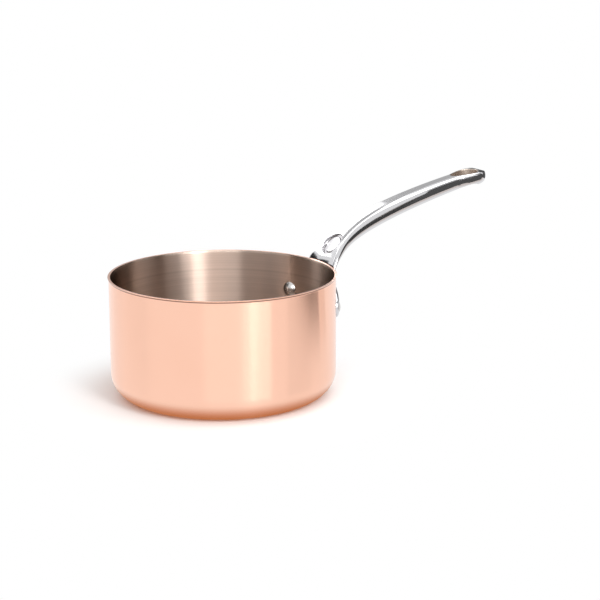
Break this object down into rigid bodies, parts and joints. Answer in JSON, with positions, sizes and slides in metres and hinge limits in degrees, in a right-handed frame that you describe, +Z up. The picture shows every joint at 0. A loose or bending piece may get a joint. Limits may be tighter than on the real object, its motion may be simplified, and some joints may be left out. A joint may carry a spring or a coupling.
{
  "type": "saucepan",
  "caption": "Straight-sided copper saucepan lined with stainless steel, with a long curved cast steel handle riveted to its side and an eye at the tip to hang it by.",
  "frame": {"origin": "centre of the pan's base, on the face it stands on", "axes": "+Z up through the middle of the pan, +X along the handle"},
  "size_m": [0.3767, 0.2, 0.1761],
  "materials": {
    "copper": "polished",
    "lining_steel": "satin",
    "cast_steel": "polished",
    "rivet_steel": "polished"
  },
  "bodies": {
    "root": {"copper_shell": "copper", "steel_lining": "lining_steel", "handle": "cast_steel", "rivet_left": "rivet_steel", "rivet_right": "rivet_steel"}
  },
  "joints": []
}
